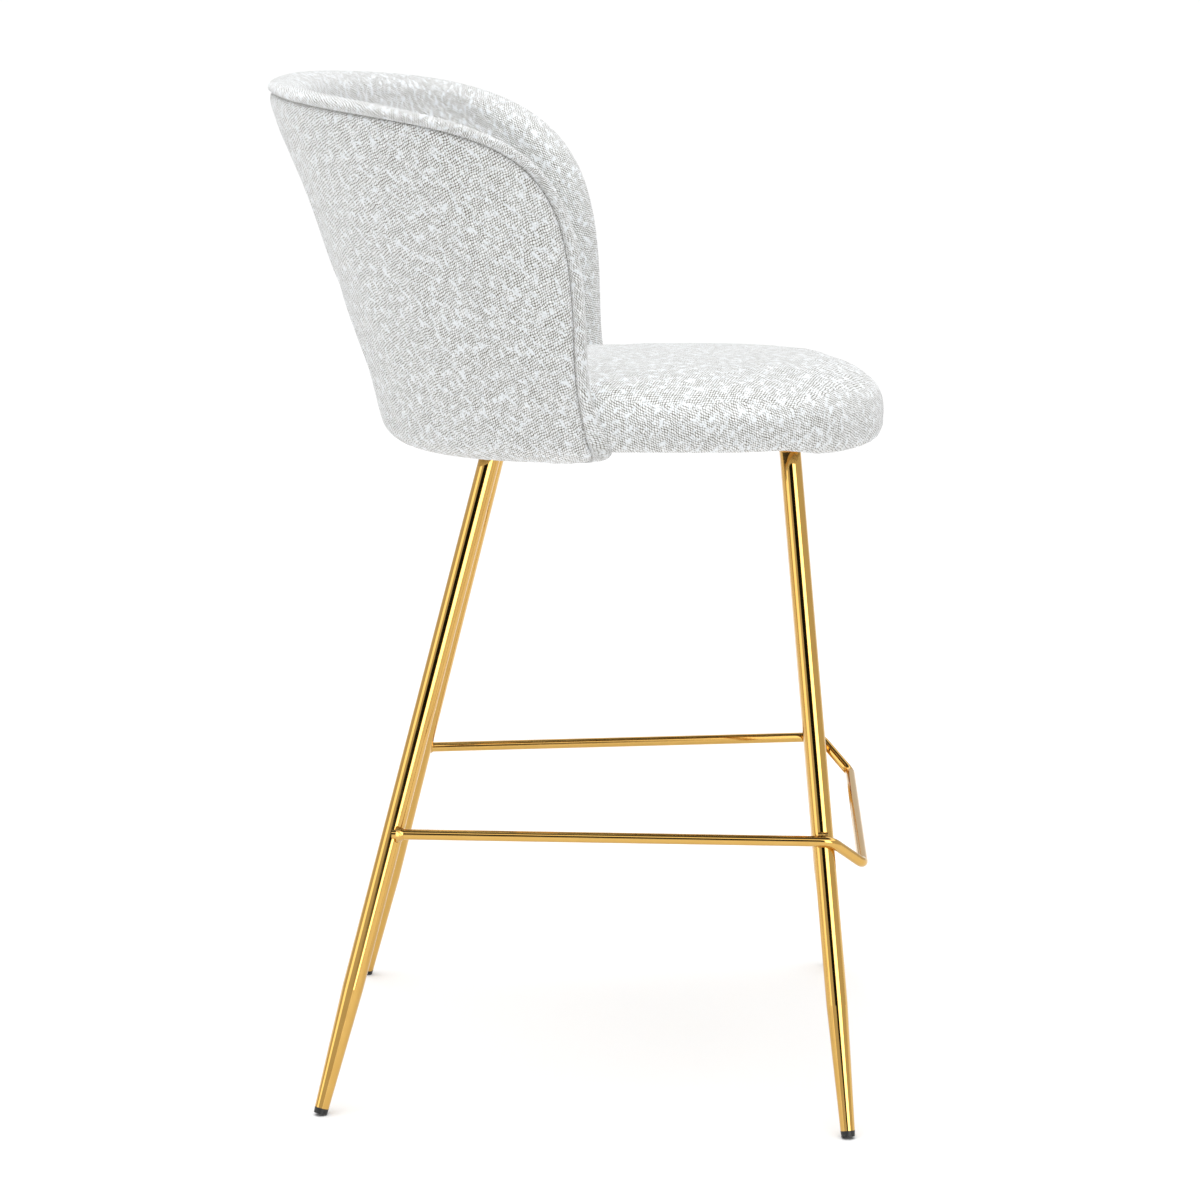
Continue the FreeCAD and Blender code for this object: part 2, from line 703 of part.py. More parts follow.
doc.recompute()
for thing in doc.Objects:
    if "Invalid" in thing.State or "Error" in thing.State:
        raise RuntimeError("%s did not recompute: %s" % (thing.Name, thing.State))
os.makedirs("parts", exist_ok=True)
for node, thing in NODES.items():
    shape = thing.Shape
    if shape.isNull() or not shape.isValid() or not shape.Solids:
        raise RuntimeError("%s has no valid solid" % node)
    shape.exportStep("parts/%s.step" % node)
    print("%-24s solids %2d volume %10.0f" % (node, len(shape.Solids), shape.Volume))
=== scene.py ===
"""Looks of the bar stool with footrest: gold-plated tube legs and rod, boucle seat and tub back."""

import math

import bpy
import numpy as np
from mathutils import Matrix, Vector


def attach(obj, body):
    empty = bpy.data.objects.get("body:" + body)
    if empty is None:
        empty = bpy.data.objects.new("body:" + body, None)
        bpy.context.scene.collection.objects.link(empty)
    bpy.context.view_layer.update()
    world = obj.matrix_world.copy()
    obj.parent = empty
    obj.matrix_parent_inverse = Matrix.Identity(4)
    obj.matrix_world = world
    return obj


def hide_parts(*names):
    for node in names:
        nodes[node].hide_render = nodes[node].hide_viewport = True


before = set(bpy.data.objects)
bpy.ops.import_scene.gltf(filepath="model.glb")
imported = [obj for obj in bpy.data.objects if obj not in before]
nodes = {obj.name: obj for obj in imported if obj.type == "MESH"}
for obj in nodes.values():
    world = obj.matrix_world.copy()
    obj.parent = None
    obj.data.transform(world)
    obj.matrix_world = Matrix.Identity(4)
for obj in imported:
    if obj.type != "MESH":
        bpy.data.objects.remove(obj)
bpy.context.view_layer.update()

# ---------------------------------------------------------------- legs
# Four welded steel tubes, each drawn down to a taper at its foot, polished and plated with
# titanium gold. The plate gives a warm, nearly mirror-like metal with faint polishing lines.


def linear(colour):
    """An sRGB hex colour such as "#C8A050" as linear RGBA."""
    parts = [int(colour[i:i + 2], 16) / 255 for i in (1, 3, 5)]
    return [p / 12.92 if p <= 0.04045 else ((p + 0.055) / 1.055) ** 2.4 for p in parts] + [1.0]


def add(tree, kind, inputs=None, **settings):
    """Adds a node with its settings. Each input is a value or the output it is linked from."""
    node = tree.nodes.new(kind)
    for name, value in settings.items():
        setattr(node, name, value)
    for key, value in (inputs or {}).items():
        if isinstance(value, bpy.types.NodeSocket):
            tree.links.new(value, node.inputs[key])
        else:
            node.inputs[key].default_value = value
    return node


def new_material(name):
    """A material and its tree, which is empty."""
    material = bpy.data.materials.new(name)
    material.use_nodes = True
    material.node_tree.nodes.clear()
    return material, material.node_tree


def tint(tree, share, first, second):
    """A colour between two hex colours: the first where share is 0, the second where it is 1."""
    return add(tree, "ShaderNodeMix", {0: share, 6: linear(first), 7: linear(second)},
               data_type="RGBA").outputs[2]


def bumps(tree, height, strength, depth):
    """The normal of a surface with these heights. A height of 1 is the depth given, in metres."""
    return add(tree, "ShaderNodeBump", {
        "Height": height, "Strength": strength, "Distance": depth}).outputs[0]


def finish_surface(tree, sockets):
    """Ends a material with one surface shader that has these inputs."""
    surface = add(tree, "ShaderNodeBsdfPrincipled", sockets)
    add(tree, "ShaderNodeOutputMaterial", {"Surface": surface.outputs[0]})


def wear(material, *names):
    """Gives CAD nodes this material."""
    for name in names:
        mesh = nodes[name].data
        mesh.materials.clear()
        mesh.materials.append(material)


GOLD, GOLD_WORN = "#D5AC62", "#CDA257"
gold_plate, tree = new_material("titanium_gold_plate")
place = add(tree, "ShaderNodeTexCoord").outputs["Object"]
# Handling marks are 20 mm across, and polishing lines are drawn 0.8 mm apart so that they show.
smudges = add(tree, "ShaderNodeTexNoise", {"Vector": place, "Scale": 50.0, "Detail": 3.0})
stretched = add(tree, "ShaderNodeMapping", {"Vector": place, "Scale": (1250.0, 1250.0, 12.0)})
lines = add(tree, "ShaderNodeTexNoise", {"Vector": stretched.outputs[0], "Scale": 1.0})
polish = add(tree, "ShaderNodeMapRange", {
    "Value": smudges.outputs[0], "From Min": 0.35, "From Max": 0.7,
    "To Min": 0.045, "To Max": 0.10})
tone = tint(tree, smudges.outputs[0], GOLD_WORN, GOLD)
relief = bumps(tree, lines.outputs[0], 0.04, 0.0002)
finish_surface(tree, {
    "Base Color": tone, "Metallic": 1.0, "Roughness": polish.outputs[0],
    "Normal": relief})
wear(gold_plate, "leg_front_right", "leg_front_left", "leg_rear_right", "leg_rear_left")

# ---------------------------------------------------------------- foot caps
# A plug of moulded black polypropylene in the end of each leg. Moulding leaves it a fine, even
# texture with a low sheen, and the floor scuffs its lower edge to grey.

cap_plastic, tree = new_material("black_polypropylene")
place = add(tree, "ShaderNodeTexCoord").outputs["Object"]
height = add(tree, "ShaderNodeSeparateXYZ", {"Vector": place}).outputs[2]
grain = add(tree, "ShaderNodeTexNoise", {"Vector": place, "Scale": 2500.0})
scuff = add(tree, "ShaderNodeMapRange", {
    "Value": height, "From Min": 0.0, "From Max": 0.0025, "To Min": 0.5, "To Max": 0.0})
tone = tint(tree, scuff.outputs[0], "#141414", "#4A4947")
relief = bumps(tree, grain.outputs[0], 0.25, 0.0001)
finish_surface(tree, {
    "Base Color": tone, "Roughness": 0.42, "Normal": relief})
wear(cap_plastic, "foot_cap_front_right", "foot_cap_front_left",
     "foot_cap_rear_right", "foot_cap_rear_left")

# ---------------------------------------------------------------- footrest and welds
# One steel rod bent round the front of the legs, with the same gold plate as the legs. The
# welds are plated over with it, so they are gold too, but rippled and less bright.

wear(gold_plate, "footrest_rod")
weld_gold, tree = new_material("plated_weld_bead")
place = add(tree, "ShaderNodeTexCoord").outputs["Object"]
# A weld's ripples are about 1.2 mm apart.
ripples = add(tree, "ShaderNodeTexWave", {
    "Vector": place, "Scale": 130.0, "Distortion": 6.0, "Detail": 2.0})
relief = bumps(tree, ripples.outputs[1], 0.5, 0.0004)
finish_surface(tree, {
    "Base Color": linear("#CFA45C"), "Metallic": 1.0, "Roughness": 0.24,
    "Normal": relief})
wear(weld_gold, "footrest_welds", "leg_welds", "rail_welds")

# ---------------------------------------------------------------- bars and fastenings
# Under the seat are flat steel bars plated with the legs, and zinc-plated bolts, washers, T-nuts
# and screws. Zinc plate is a dull blue-grey metal with a fine crystal mottle.

wear(gold_plate, "mount_plate_front", "mount_plate_rear", "frame_rail_right", "frame_rail_left")
zinc_plate, tree = new_material("zinc_plated_steel")
place = add(tree, "ShaderNodeTexCoord").outputs["Object"]
# Zinc crystals are drawn 1.5 mm across, coarser than life, so that they show.
crystals = add(tree, "ShaderNodeTexVoronoi", {"Vector": place, "Scale": 660.0})
tone = tint(tree, crystals.outputs["Color"], "#A9AEB2", "#C7CBCE")
relief = bumps(tree, crystals.outputs[0], 0.12, 0.0001)
finish_surface(tree, {
    "Base Color": tone, "Metallic": 1.0, "Roughness": 0.38,
    "Normal": relief})
wear(zinc_plate, "plate_bolts", "plate_washers", "tee_nuts", "back_screws")

# ---------------------------------------------------------------- plywood board and shell
# A flat poplar-plywood seat board, and a curved shell of the same screwed round its edge. The
# wood is raw, pale and matte, with long grain and darker plies at its cut edges.

plywood, tree = new_material("raw_poplar_plywood")
place = add(tree, "ShaderNodeTexCoord").outputs["Object"]
# Grain lines lie 4 mm apart and run front to back. Plies are 1.5 mm thick.
along_grain = add(tree, "ShaderNodeMapping", {"Vector": place, "Scale": (250.0, 12.0, 60.0)})
grain = add(tree, "ShaderNodeTexNoise", {
    "Vector": along_grain.outputs[0], "Scale": 1.0, "Detail": 5.0, "Distortion": 0.6})
plies = add(tree, "ShaderNodeTexWave", {"Vector": place, "Scale": 105.0},
            bands_direction="Z")
streak = add(tree, "ShaderNodeMath", {0: grain.outputs[0], 1: plies.outputs[1]},
             operation="MULTIPLY")
tone = tint(tree, streak.outputs[0], "#DCC39A", "#B08F60")
relief = bumps(tree, grain.outputs[0], 0.3, 0.0003)
finish_surface(tree, {
    "Base Color": tone, "Roughness": 0.75, "Normal": relief})
wear(plywood, "seat_board", "back_shell")

# ---------------------------------------------------------------- seat cushion
# Cut foam on the board under one piece of boucle, pulled over the rounded edge and stapled
# beneath. The cloth is a thick basket weave: white slub yarn across a beige ground yarn.

# Rows of grains are 2.1 mm apart and each grain is 2.4 mm long. The rows run at a slant round
# the seat, and the slubs at a steeper one.
ROW, GRAIN = 0.0021, 0.0024
ROW_SLANT, SLUB_SLANT = -0.42, -0.50
SLUB_ACROSS, SLUB_ALONG = 0.0048, 0.0085
MOST_WANDER = 0.0034
boucle, tree = new_material("boucle_basket_weave")
cloth_place = add(tree, "ShaderNodeUVMap", uv_map="cloth").outputs[0]
# The rows wander by about half a millimetre every 8 mm, as they do in a loose weave.
wander = add(tree, "ShaderNodeTexNoise", {"Vector": cloth_place, "Scale": 130.0, "Detail": 1.0})
wander = add(tree, "ShaderNodeVectorMath", {
    0: wander.outputs["Color"], 1: (0.5, 0.5, 0.5)}, operation="SUBTRACT")
wander = add(tree, "ShaderNodeVectorMath", {
    0: wander.outputs[0], 1: (MOST_WANDER, MOST_WANDER, 0.0), 2: cloth_place},
    operation="MULTIPLY_ADD")
threads = add(tree, "ShaderNodeMapping", {
    "Vector": wander.outputs[0], "Rotation": (0.0, 0.0, ROW_SLANT),
    "Scale": (GRAIN, ROW, 1.0)}, vector_type="TEXTURE")
threads = add(tree, "ShaderNodeSeparateXYZ", {"Vector": threads.outputs[0]}).outputs
# Each row starts half a grain after the one below it.
sheared = add(tree, "ShaderNodeMath", {0: threads[1], 1: 0.5, 2: threads[0]},
              operation="MULTIPLY_ADD").outputs[0]


def hump(value):
    """Rises from 0 to 1 and falls again over every whole number."""
    turned = add(tree, "ShaderNodeMath", {0: value, 1: math.pi}, operation="MULTIPLY")
    wave = add(tree, "ShaderNodeMath", {0: turned.outputs[0]}, operation="SINE")
    return add(tree, "ShaderNodeMath", {0: wave.outputs[0]}, operation="ABSOLUTE").outputs[0]


# White yarn rises in a round grain where it crosses over, and the ground yarn lies lower. Where the
# grains are low the colour is painted shade: a dark olive-brown, darker than the beige ground yarn,
# standing for the shadow in the hollows between grains.
beside = add(tree, "ShaderNodeMath", {0: hump(sheared), 1: 0.85, 2: 0.15},
             operation="MULTIPLY_ADD").outputs[0]
dome = add(tree, "ShaderNodeMath", {0: hump(threads[1]), 1: beside},
           operation="MULTIPLY").outputs[0]
grain_not_shaded_gap = add(tree, "ShaderNodeMapRange", {
    "Value": dome, "From Min": 0.16, "From Max": 0.46}).outputs[0]
# No two grains are equally thick or bright, and some hide the ground yarn beside them.
cell = add(tree, "ShaderNodeCombineXYZ", {0: sheared, 1: threads[1]})
cell = add(tree, "ShaderNodeVectorMath", {0: cell.outputs[0]}, operation="FLOOR")
chance = add(tree, "ShaderNodeTexWhiteNoise", {"Vector": cell.outputs[0]},
             noise_dimensions="2D").outputs[0]
thick = add(tree, "ShaderNodeMapRange", {
    "Value": chance, "From Min": 0.6, "From Max": 1.0,
    "To Min": 0.0, "To Max": 0.7}).outputs[0]
grain_not_shaded_gap = add(tree, "ShaderNodeMath", {0: grain_not_shaded_gap, 1: thick},
                 operation="MAXIMUM").outputs[0]
# Slubs are thick places in the white yarn, 6 to 15 mm long, that hide the ground under them.
slub_place = add(tree, "ShaderNodeMapping", {
    "Vector": wander.outputs[0], "Rotation": (0.0, 0.0, SLUB_SLANT),
    "Scale": (SLUB_ACROSS, SLUB_ALONG, 1.0)}, vector_type="TEXTURE")
slubs = add(tree, "ShaderNodeTexNoise", {
    "Vector": slub_place.outputs[0], "Scale": 1.0, "Detail": 4.0, "Roughness": 0.65})
slub = add(tree, "ShaderNodeMapRange", {
    "Value": slubs.outputs[0], "From Min": 0.51, "From Max": 0.61}).outputs[0]
curls = add(tree, "ShaderNodeTexNoise", {"Vector": cloth_place, "Scale": 620.0, "Detail": 2.0})
grain_white = tint(tree, chance, "#E9EAE8", "#FCFDFD")
# Painted shade: the gaps between grains take #575040, the ground yarn darkened for the shade in its
# hollows.
weave_with_gap_shade = add(tree, "ShaderNodeMix", {
    0: grain_not_shaded_gap, 6: linear("#575040"), 7: grain_white}, data_type="RGBA")
slub_colour = tint(tree, curls.outputs[0], "#DCE0E3", "#F6F9FB")
cloth_colour = add(tree, "ShaderNodeMix", {
    0: slub, 6: weave_with_gap_shade.outputs[2], 7: slub_colour}, data_type="RGBA")
slub_height = add(tree, "ShaderNodeMath", {0: curls.outputs[0], 1: 0.6, 2: 0.55},
                  operation="MULTIPLY_ADD")
cloth_height = add(tree, "ShaderNodeMix", {
    0: slub, 2: dome, 3: slub_height.outputs[0]}).outputs[0]
relief = bumps(tree, cloth_height, 0.8, 0.0008)
finish_surface(tree, {
    "Base Color": cloth_colour.outputs[2], "Roughness": 0.95, "Specular IOR Level": 0.2,
    "Sheen Weight": 0.8, "Sheen Roughness": 0.6, "Normal": relief})


def place_object(name, data):
    """A new object in the scene."""
    piece = bpy.data.objects.new(name, data)
    bpy.context.scene.collection.objects.link(piece)
    return piece


def eased(share):
    """A share from 0 to 1 that starts and ends slowly."""
    return share ** 2 * (3 - 2 * share)


def read_points(mesh):
    """The points of a mesh, in metres, one to a row."""
    points = np.empty(len(mesh.vertices) * 3)
    mesh.vertices.foreach_get("co", points)
    return points.reshape(-1, 3)


def write_points(mesh, points):
    """Moves the points of a mesh."""
    mesh.vertices.foreach_set("co", np.asarray(points, dtype=float).ravel())
    mesh.update()


LAST_FRAME = 20
HOLD_STEPS = 10


def swell(piece, held, pressure, most):
    """Lets a closed cover settle as cloth under pressure. held is each point's hold from 0, free,
    to 1, fixed, and no point moves further than most, in metres."""
    start = read_points(piece.data)
    group = piece.vertex_groups.new(name="held")
    for level in range(HOLD_STEPS + 1):
        members = np.flatnonzero(np.round(held * HOLD_STEPS) == level)
        group.add(members.tolist(), level / HOLD_STEPS, "REPLACE")
    cloth = piece.modifiers.new("cover", "CLOTH")
    settings = cloth.settings
    settings.quality = 5
    settings.mass = 0.35
    settings.tension_stiffness = 18
    settings.compression_stiffness = 18
    settings.shear_stiffness = 8
    settings.bending_stiffness = 2.5
    settings.use_pressure = True
    settings.uniform_pressure_force = pressure
    settings.vertex_group_mass = "held"
    settings.pin_stiffness = 1.0
    settings.effector_weights.gravity = 0
    cloth.collision_settings.use_collision = False
    cloth.point_cache.frame_start = 1
    cloth.point_cache.frame_end = LAST_FRAME
    scene = bpy.context.scene
    for step in range(1, LAST_FRAME + 1):
        scene.frame_set(step)
    shape = piece.evaluated_get(bpy.context.evaluated_depsgraph_get())
    moved = read_points(shape.data) - start
    piece.modifiers.remove(cloth)
    scene.frame_set(1)
    length = np.linalg.norm(moved, axis=1, keepdims=True)
    moved *= most * np.tanh(length / most) / np.maximum(length, 1e-9)
    write_points(piece.data, start + moved)


def apply_modifiers(piece):
    """Turns a piece and its modifiers into a plain mesh."""
    shape = piece.evaluated_get(bpy.context.evaluated_depsgraph_get())
    mesh = bpy.data.meshes.new_from_object(shape)
    piece.modifiers.clear()
    piece.data = mesh


# The seat is a half circle in front of straight sides, and FRONT_CENTRE is its middle. Metres.
SEAT_ROUND, FRONT_CENTRE = 0.162, -0.1188
VOXEL, QUICK_VOXEL = 0.005, 0.006
cushion_mesh = bpy.data.meshes.new("seat_cushion")
cushion = place_object("seat_cushion", cushion_mesh)
# The cushion starts from the foam and its cover, made one closed skin.
corners, faces = [], []
for name in ("seat_foam", "seat_cover"):
    points = read_points(nodes[name].data)
    faces += [[i + len(corners) for i in face.vertices] for face in nodes[name].data.polygons]
    corners += points.tolist()
cushion_mesh.from_pydata(corners, [], faces)
merge = cushion.modifiers.new("merge", "WELD")
merge.merge_threshold = 0.00002
skin = cushion.modifiers.new("skin", "REMESH")
skin.mode = "VOXEL"
skin.voxel_size = VOXEL
soften = cushion.modifiers.new("soften", "SMOOTH")
soften.factor = 0.5
soften.iterations = 2
apply_modifiers(cushion)
points = read_points(cushion.data)


def from_side(places):
    """How far in a point lies from the side of the seat, as a share of the round's radius."""
    ahead = np.clip(places[:, 1], FRONT_CENTRE, 0.02) - places[:, 1]
    return np.hypot(places[:, 0], ahead) / SEAT_ROUND


# The cover bulges 1 mm below the board where it turns under, and 8 mm at the front.
BULGE, NOSE_BULGE = 0.001, 0.007
edge = eased(np.clip((from_side(points) - 0.79) / 0.08, 0, 1))
nose = eased(np.clip((-0.180 - points[:, 1]) / 0.05, 0, 1))
under = np.clip((0.620 - points[:, 2]) / 0.02, 0, 1)
points[:, 2] -= (BULGE + NOSE_BULGE * nose) * edge * under
# The foam is crowned. Its top lies 1.8 mm low in the middle and falls 9 mm more to the edge, or
# 4 mm at the front.
CROWN_START, CROWN_FALL, NOSE_FALL = 0.0018, 0.009, 0.004
fall = CROWN_FALL - (CROWN_FALL - NOSE_FALL) * nose
crowned = np.clip((points[:, 2] - 0.615) / 0.03, 0, 1)
points[:, 2] -= (CROWN_START + fall * from_side(points) ** 2) * crowned
write_points(cushion.data, points)
# The cover is held where it is stapled under the board and where the tub grips it.
low = np.clip((0.615 - points[:, 2]) / 0.012, 0, 1)
gripped = np.clip((points[:, 1] + 0.045) / 0.03, 0, 1) * np.clip(
    (np.abs(points[:, 0]) - 0.105) / 0.02, 0, 1)
swell(cushion, np.maximum(low, gripped), pressure=4.0, most=0.005)
round_off = cushion.modifiers.new("round_off", "SUBSURF")
round_off.levels = round_off.render_levels = 1
apply_modifiers(cushion)


def lay_cloth(piece, places):
    """Dresses a piece in boucle. places is where each face corner lies on the cloth, in metres,
    and the weave follows it as a UV map."""
    layer = piece.data.uv_layers.new(name="cloth")
    layer.uv.foreach_set("vector", np.asarray(places, dtype=float).ravel())
    piece.data.polygons.foreach_set("use_smooth", [True] * len(piece.data.polygons))
    piece.data.materials.clear()
    piece.data.materials.append(boucle)


# The top and the underside are woven flat, and the side is woven round its edge.
FLAT_FACING = 0.72
points = read_points(cushion.data)
loop_point = np.empty(len(cushion.data.loops), dtype=int)
cushion.data.loops.foreach_get("vertex_index", loop_point)
face_normal = np.empty(len(cushion.data.polygons) * 3)
cushion.data.polygons.foreach_get("normal", face_normal)
face_size = np.empty(len(cushion.data.polygons), dtype=int)
cushion.data.polygons.foreach_get("loop_total", face_size)
upward = np.repeat(face_normal.reshape(-1, 3)[:, 2], face_size)
at = points[loop_point]
behind = at[:, 1] - FRONT_CENTRE
turned = np.arctan2(at[:, 0], -behind) * SEAT_ROUND
straight = np.sign(at[:, 0]) * (SEAT_ROUND * math.pi / 2 + behind)
round_side = np.stack([np.where(behind < 0, turned, straight), at[:, 2]], axis=1)
is_flat = np.abs(upward)[:, None] > FLAT_FACING
lay_cloth(cushion, np.where(is_flat, at[:, :2], round_side))
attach(cushion, "root")
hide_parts("seat_cover", "seat_foam")

# ---------------------------------------------------------------- tub back
# A horseshoe shell with foam inside and wadding outside. The inner cover rolls over the rim, and
# a sewn seam joins it to the outer cover 11 mm down the outside. Sizes are in millimetres.

# Heights are from the floor. The wall's curves start at the height WALL_FOOT.
WALL_FOOT = 601.8
# The way along the wall counts 270 from the rear middle to the side, and millimetres from there.
QUARTER = 270.0
WALL = 32.6
UNDER_START, UNDER_RADIUS = 602.6, 22.0
# The inner cover turns out round the board's edge below INNER_FOOT. Its bottom edge and the outer
# cover's meet at the level UNDER_EDGE, counted on along the cloth.
INNER_FOOT, UNDER_EDGE = 611.0, 547.0
SEAM_DROP, INNER_EDGE = 11.0, 20.0


def tub_plan(height):
    """The wall's half width, its depth behind its middle, that middle's y, and the half width at
    its front ends, all at one height. It leans out as it rises and draws in again at the rim."""
    rise = height - WALL_FOOT
    over = np.maximum(0.0, rise - 258)
    rear = 182.0 + 0.245 * rise + 0.00036 * rise ** 2 - 0.0065 * over ** 2
    half = 164 + 0.27 * rise - 0.0052 * over ** 2
    middle = 25 + 0.345 * rise
    front_half = 190 - 26 * (1 - rise / 290) ** 2
    return half, rear - middle, middle, front_half


def tub_outline(along, height):
    """The outside of the wall. along runs round it from the rear middle, negative to the right."""
    half, depth, middle, front_half = tub_plan(height)
    reach = middle + 12 - 0.14 * (height - 683)
    run = np.abs(along)
    turn = np.minimum(run / QUARTER, 1) * math.pi / 2
    ahead = np.maximum(run - QUARTER, 0)
    pinch = (half - front_half) * (ahead / reach) ** 1.6
    x = np.sign(along) * np.where(run <= QUARTER, half * np.sin(turn), half - pinch)
    y = np.where(run <= QUARTER, middle + depth * np.cos(turn), middle - ahead)
    return x, y


def off_wall(along, height, inset, sink):
    """A point at an inset from the outside of the wall, and sunk below its height."""
    x, y = tub_outline(along, height)
    ahead_x, ahead_y = tub_outline(along + 0.5, height)
    behind_x, behind_y = tub_outline(along - 0.5, height)
    run_x, run_y = ahead_x - behind_x, ahead_y - behind_y
    run = np.hypot(run_x, run_y)
    return np.stack([x + run_y / run * inset, y - run_x / run * inset, height - sink], axis=-1)


def outer_face(along, level, out):
    """The outer cover. It turns under at the bottom, where level goes on as distance along it."""
    fall = np.maximum(UNDER_START - level, 0)
    turn = np.minimum(fall / UNDER_RADIUS, math.pi / 2)
    flat = np.maximum(fall - UNDER_RADIUS * math.pi / 2, 0)
    height = np.where(fall > 0, UNDER_START - UNDER_RADIUS * np.sin(turn) + flat * 0.62, level)
    inset = UNDER_RADIUS * (1 - np.cos(turn)) + flat * 0.72
    return off_wall(along, height, inset - out * np.cos(turn), out * np.sin(turn))


def inner_face(along, level, out):
    """The inner cover. Below the foam it goes round the board: out, down, and in again."""
    out_to, down_to, in_to = 15.1, 33.1, 46.6
    drop = np.maximum(INNER_FOOT - level, 0) * in_to / (INNER_FOOT - UNDER_EDGE)
    inset = WALL - np.clip(drop, 0, out_to) + np.clip(drop - down_to, 0, in_to - down_to)
    height = np.where(drop > 0, INNER_FOOT - np.clip(drop - out_to, 0, down_to - out_to), level)
    return off_wall(along, height, inset - out, 0)


def flare(level):
    """How much further the roll reaches forward at the foot than the seam behind it."""
    return 8 * eased(np.clip((655 - level) / 60, 0, 1))


def rim_half():
    """Half the cover's edge, from the rear middle of the rim down to the foot and back under. Seen
    from the side the rim is a quarter superellipse round the foot of the wall's rear."""
    turn = np.linspace(0, math.pi / 2, 1500)
    back = 294.5 * np.sin(turn) ** (2 / 4.2)
    level = WALL_FOOT + 312 * np.cos(turn) ** (2 / 5.3) - 0.101 * back
    y = 278.5 - back - 14 * np.maximum(0, (683 - level) / 100) ** 2
    half, depth, middle, front_half = tub_plan(level)
    lean = (y - middle) / depth
    along = np.where(y > middle, QUARTER * np.arccos(np.clip(lean, 0, 1)) / (math.pi / 2),
                     QUARTER + middle - y)
    kept = (lean < 0.9995) & (level > 598)
    along, level = along[kept], level[kept]
    along = along + flare(level)
    # At the foot the edge turns a rounded corner and goes back along the underside.
    corner = np.linspace(0, math.pi / 2, 16)
    corner_along = along[-1] - 34 * (1 - np.cos(corner))
    corner_level = 570 + 28 * (1 - np.sin(corner))
    along = np.concatenate([[0], along, corner_along, [along[-1] - 38, 0]])
    level = np.concatenate([level[:1], level, corner_level, [UNDER_EDGE, UNDER_EDGE]])
    return along, level


COLUMNS = 512
along, level = rim_half()
length = np.concatenate([[0], np.cumsum(np.hypot(np.diff(along), np.diff(level)))])
even = np.linspace(0, length[-1], COLUMNS // 2 + 1)
along, level = np.interp(even, length, along), np.interp(even, length, level)
edge_along = np.concatenate([along, -along[-2:0:-1]])
edge_level = np.concatenate([level, level[-2:0:-1]])
run_along = np.roll(edge_along, -2) - np.roll(edge_along, 2)
run_level = np.roll(edge_level, -2) - np.roll(edge_level, 2)
run = np.hypot(run_along, run_level)
in_along, in_level = run_level / run, -run_along / run
TUB_CENTRE = (0.0, 722.0)
# The roll fades out where the cover turns under the foot, and there the rows aim at the middle.
rolled = eased(np.clip((edge_level - 556) / 36, 0, 1))
aim_along, aim_level = TUB_CENTRE[0] - edge_along, TUB_CENTRE[1] - edge_level
aim = np.hypot(aim_along, aim_level)
in_along = in_along * rolled + aim_along / aim * (1 - rolled)
in_level = in_level * rolled + aim_level / aim * (1 - rolled)
aim = np.hypot(in_along, in_level)
in_along, in_level = in_along / aim, in_level / aim
# The seam draws the cloth unevenly, up to half a millimetre in and out.
PUCKER_WAVE = 9.0
pucker = 1.5 * (np.sin(even[-1] / PUCKER_WAVE * np.arange(COLUMNS) / COLUMNS * 2 * math.pi)
                + np.sin(np.arange(COLUMNS) * 0.83) + np.sin(np.arange(COLUMNS) * 0.31 + 2))


def edge_row(distance):
    """The edge moved in by a distance, which can differ from column to column."""
    return edge_along + in_along * distance, edge_level + in_level * distance


def evened(row, reach):
    """A row with each point moved to the mean of its neighbours, a number of columns either side,
    so that far in from the edge the columns don't cross at the foot's tight corner."""
    return [sum(np.roll(part, k) for k in range(-reach, reach + 1)) / (2 * reach + 1)
            for part in row]


rings, panel_places, lining_places, holds = [], [], [], []


def add_ring(points, place, hold):
    """Adds a ring of points to the cover, with their places on the cloth and their hold."""
    rings.append(points)
    panel_places.append(place)
    lining_places.append(place)
    holds.append(np.full(len(points), hold))


FLARED = flare(edge_level)
SPOKES = 34
MOST_EVENED = 7
FULL_SHARE, MOST_THINNED = 0.62, 16


def spoke_rows(distance):
    """Rows of the cover from the edge of its border to its middle, thinned as they shorten."""
    start_along, start_level = evened(edge_row(distance), MOST_EVENED)
    rows = []
    for step in range(1, SPOKES):
        share = 1 - step / SPOKES
        thin = 1
        if share < FULL_SHARE:
            thin = min(2 ** (math.floor(math.log2(FULL_SHARE / share)) + 1), MOST_THINNED)
        rows.append((TUB_CENTRE[0] + (start_along[::thin] - TUB_CENTRE[0]) * share,
                     TUB_CENTRE[1] + (start_level[::thin] - TUB_CENTRE[1]) * share))
    rows.append((np.array([TUB_CENTRE[0]]), np.array([TUB_CENTRE[1]])))
    return rows


# The border of the outer cover, from the seam in: how far from the rim, how far from the bottom
# edge under the foot, and how far out from the wall.
BORDER = ((SEAM_DROP, 0.0, -4.4), (11.8, 1.5, -1.7), (13.2, 3.5, -0.5), (15.4, 6.0, 0.1),
          (19.0, 10.0, 0.2), (24.0, 15.0, -0.2), (30.0, 21.0, -0.7))
for row in reversed(spoke_rows(rolled * (30 + FLARED) + (1 - rolled) * 21)):
    add_ring(outer_face(row[0], row[1], np.full(len(row[0]), -1.0)), np.stack(row, -1), 0.0)
for rim_distance, foot_distance, out in reversed(BORDER):
    row = edge_row(rolled * (rim_distance + FLARED) + (1 - rolled) * foot_distance)
    row = evened(row, round(MOST_EVENED * max(0, rim_distance - 14) / 16))
    ease = np.exp(-((rim_distance - 14) / 5) ** 2) * 0.12
    add_ring(outer_face(row[0], row[1], rolled * (out + pucker * ease)), np.stack(row, -1),
             float(np.clip((26 - rim_distance) / 10, 0, 1)))
seam_ring = len(rings) - 1

